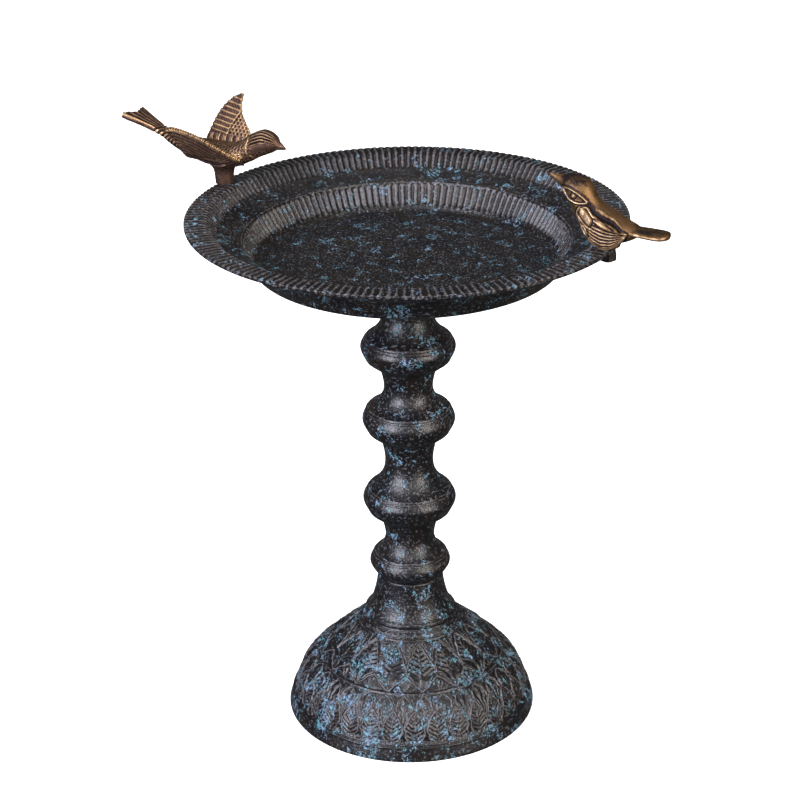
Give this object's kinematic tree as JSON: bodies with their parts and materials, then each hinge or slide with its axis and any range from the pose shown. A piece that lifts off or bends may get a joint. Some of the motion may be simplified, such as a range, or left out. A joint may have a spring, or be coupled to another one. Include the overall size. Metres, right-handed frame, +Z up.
{
  "type": "bird bath",
  "caption": "Free-standing bird bath: a ribbed cast bowl on a knobbed stem and an ornamented domed foot, with cast birds swivelling on the bowl's rim.",
  "frame": {"origin": "centre of the foot ring, on the surface that it stands on", "axes": "+Z up along the stem; -Y is the front; the flying bird is at the rim's left (-X) and the perched bird at its right (+X)"},
  "size_m": [0.4677, 0.38, 0.5541],
  "materials": {
    "patinated_casting": "antiqued near-black cast metal with a sky-blue patina in its hollows",
    "antique_brass": "antiqued golden bronze, rubbed bright on its edges",
    "dark_steel": "blackened steel"
  },
  "bodies": {
    "stand": {"bowl": "patinated_casting", "column": "patinated_casting", "stem_foot": "patinated_casting", "base_dome": "patinated_casting", "tie_rod": "dark_steel", "rod_washer": "dark_steel", "rod_lock_washer": "dark_steel", "rod_nut": "dark_steel"},
    "left_bird": {"flying_bird": "antique_brass", "flying_bird_stud": "dark_steel", "flying_bird_lock_washer": "dark_steel", "flying_bird_nut": "dark_steel"},
    "right_bird": {"perched_bird": "antique_brass", "perched_bird_stud": "dark_steel", "perched_bird_lock_washer": "dark_steel", "perched_bird_nut": "dark_steel"}
  },
  "joints": [
    {"name": "left_bird_swivel", "type": "hinge", "parent": "stand", "child": "left_bird", "pos_m": [-0.16093, 0.08921, 0.478], "axis": [0, 0, 1], "continuous": true},
    {"name": "right_bird_swivel", "type": "hinge", "parent": "stand", "child": "right_bird", "pos_m": [0.16438, -0.08267, 0.478], "axis": [0, 0, 1], "continuous": true}
  ]
}
